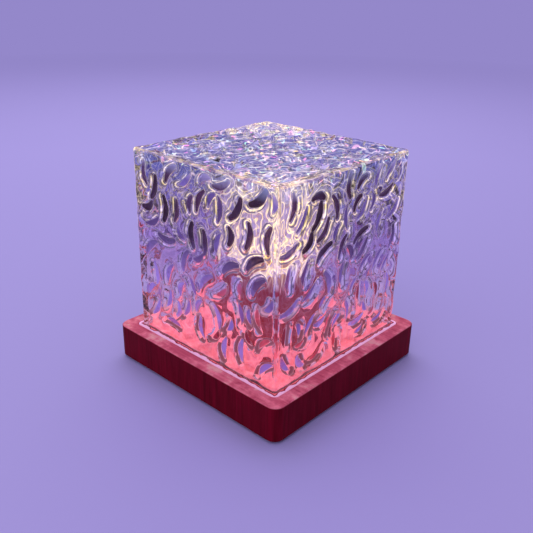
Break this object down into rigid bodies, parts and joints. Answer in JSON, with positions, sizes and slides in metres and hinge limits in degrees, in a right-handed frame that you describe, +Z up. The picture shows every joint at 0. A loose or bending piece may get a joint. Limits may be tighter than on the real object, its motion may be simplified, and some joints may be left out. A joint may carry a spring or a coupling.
{
  "type": "crystal cube projector light",
  "caption": "Clear rippled acrylic cube on a square wooden base; a tube with a turning rippled lens over coloured LEDs throws moving water light through the cube.",
  "frame": {"origin": "middle of the base at the undersides of the feet", "axes": "+Z up out of the cube, front towards -Y, USB-C inlet and button in the rear face +Y"},
  "size_m": [0.11, 0.11, 0.1116],
  "materials": {
    "stained_wood": "red stain, satin",
    "clear_acrylic": "clear, polished",
    "lens_acrylic": "clear, polished",
    "lit_acrylic": "clear, lit from below",
    "tube_plastic": "dark red-brown, satin",
    "black_plastic": "fine matt grain",
    "button_plastic": "satin",
    "rubber": "matt",
    "white_plastic": "moulded, matt",
    "gear_plastic": "moulded acetal",
    "white_board": "white solder mask",
    "led_red": "lit emitter",
    "led_green": "lit emitter",
    "led_blue": "lit emitter",
    "led_white": "lit emitter",
    "aluminium": "plain",
    "steel": "plain",
    "green_board": "solder mask",
    "chip_plastic": "moulded",
    "header_plastic": "moulded",
    "lead_plastic": "flat lead"
  },
  "bodies": {
    "base": {"wood_base": "stained_wood", "bottom_plate": "black_plastic", "foot_front_left": "rubber", "foot_front_right": "rubber", "foot_rear_left": "rubber", "foot_rear_right": "rubber", "engine_frame": "white_plastic", "light_tube": "tube_plastic", "projection_lens": "lit_acrylic", "led_board": "white_board", "led_red": "led_red", "led_green": "led_green", "led_blue": "led_blue", "led_white": "led_white", "heat_sink": "aluminium", "motor_can": "steel", "control_board": "green_board", "usb_shell": "steel", "usb_tongue": "chip_plastic", "switch_body": "chip_plastic", "led_header": "header_plastic", "motor_header": "header_plastic", "driver_chip": "chip_plastic", "choke_coil": "chip_plastic", "smoothing_capacitor": "aluminium", "led_lead": "lead_plastic", "motor_lead": "lead_plastic"},
    "cover": {"crystal_cover": "clear_acrylic"},
    "lens": {"lens_gear": "gear_plastic", "ripple_lens": "lens_acrylic"},
    "pinion": {"pinion_gear": "gear_plastic", "motor_shaft": "steel"},
    "button": {"power_button": "button_plastic", "switch_plunger": "chip_plastic"}
  },
  "joints": [
    {"name": "cover_lift", "type": "slide", "parent": "base", "child": "cover", "axis": [0, 0, 1], "range_m": [0, 0.06]},
    {"name": "lens_spin", "type": "hinge", "parent": "base", "child": "lens", "pos_m": [0, 0, 0.0115], "axis": [0, 0, 1], "continuous": true},
    {"name": "pinion_spin", "type": "hinge", "parent": "base", "child": "pinion", "pos_m": [0.03, 0, 0.0115], "axis": [0, 0, 1], "continuous": true},
    {"name": "button_press", "type": "slide", "parent": "base", "child": "button", "axis": [0, -1, 0], "range_m": [0, 0.0005], "stiffness_N_per_m": 3000}
  ],
  "couplings": [
    {"joint": "pinion_spin", "follows": "lens_spin", "ratio": -4}
  ]
}
